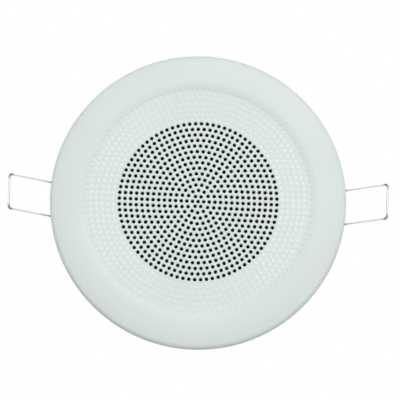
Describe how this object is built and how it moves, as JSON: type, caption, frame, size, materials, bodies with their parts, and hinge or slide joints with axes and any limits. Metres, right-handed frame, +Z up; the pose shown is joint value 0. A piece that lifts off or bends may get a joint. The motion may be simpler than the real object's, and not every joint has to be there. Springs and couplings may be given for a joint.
{
  "type": "in-ceiling speaker",
  "caption": "Round white flush-mount ceiling loudspeaker with a perforated dished front, a wide rounded flange and sprung wire clips that hold it in a cut-out.",
  "frame": {"origin": "centre of the collar at the ceiling's face, which the back of the flange's rim meets", "axes": "+Z up into the ceiling void along the collar's axis, so the grille looks down; the two spring clips are on +X and -X; the terminal strip is towards +Y"},
  "size_m": [0.2294, 0.18, 0.082],
  "materials": {
    "white_plastic": "satin moulded",
    "spring_steel": "bright",
    "pressed_steel": "black, satin",
    "gasket_foam": "matt foam",
    "surround_rubber": "satin",
    "cone_paper": "felted",
    "former_paper": "smooth",
    "coil_copper": "enamelled wire",
    "spider_cloth": "resin-treated weave",
    "plated_steel": "zinc plated",
    "ferrite": "ground, matt",
    "strip_board": "phenolic paper",
    "tag_brass": "tinned",
    "lead_tinsel": "braided"
  },
  "bodies": {
    "frame": {"baffle": "white_plastic", "basket_gasket": "gasket_foam", "driver_basket": "pressed_steel", "top_plate": "plated_steel", "magnet": "ferrite", "yoke": "plated_steel", "terminal_strip": "strip_board", "terminal_tags": "tag_brass", "lead_left": "lead_tinsel", "lead_right": "lead_tinsel"},
    "left_clip": {"clip_left": "spring_steel"},
    "right_clip": {"clip_right": "spring_steel"},
    "moving_cone": {"cone": "cone_paper", "dust_cap": "cone_paper", "coil_former": "former_paper", "voice_coil": "coil_copper", "surround": "surround_rubber", "spider": "spider_cloth"}
  },
  "joints": [
    {"name": "clip_left_fold", "type": "hinge", "parent": "frame", "child": "left_clip", "pos_m": [-0.07103, 0, 0.01888], "axis": [0, 1, 0], "range_deg": [0, 140], "stiffness_Nm_per_rad": 0.1, "springref_deg": -34.38},
    {"name": "clip_right_fold", "type": "hinge", "parent": "frame", "child": "right_clip", "pos_m": [0.07103, 0, 0.01888], "axis": [0, -1, 0], "range_deg": [0, 140], "stiffness_Nm_per_rad": 0.1, "springref_deg": -34.38},
    {"name": "cone_travel", "type": "slide", "parent": "frame", "child": "moving_cone", "axis": [0, 0, 1], "range_m": [-0.0025, 0.0025], "stiffness_N_per_m": 1500, "deforming": ["surround", "spider", "lead_left", "lead_right"]}
  ]
}
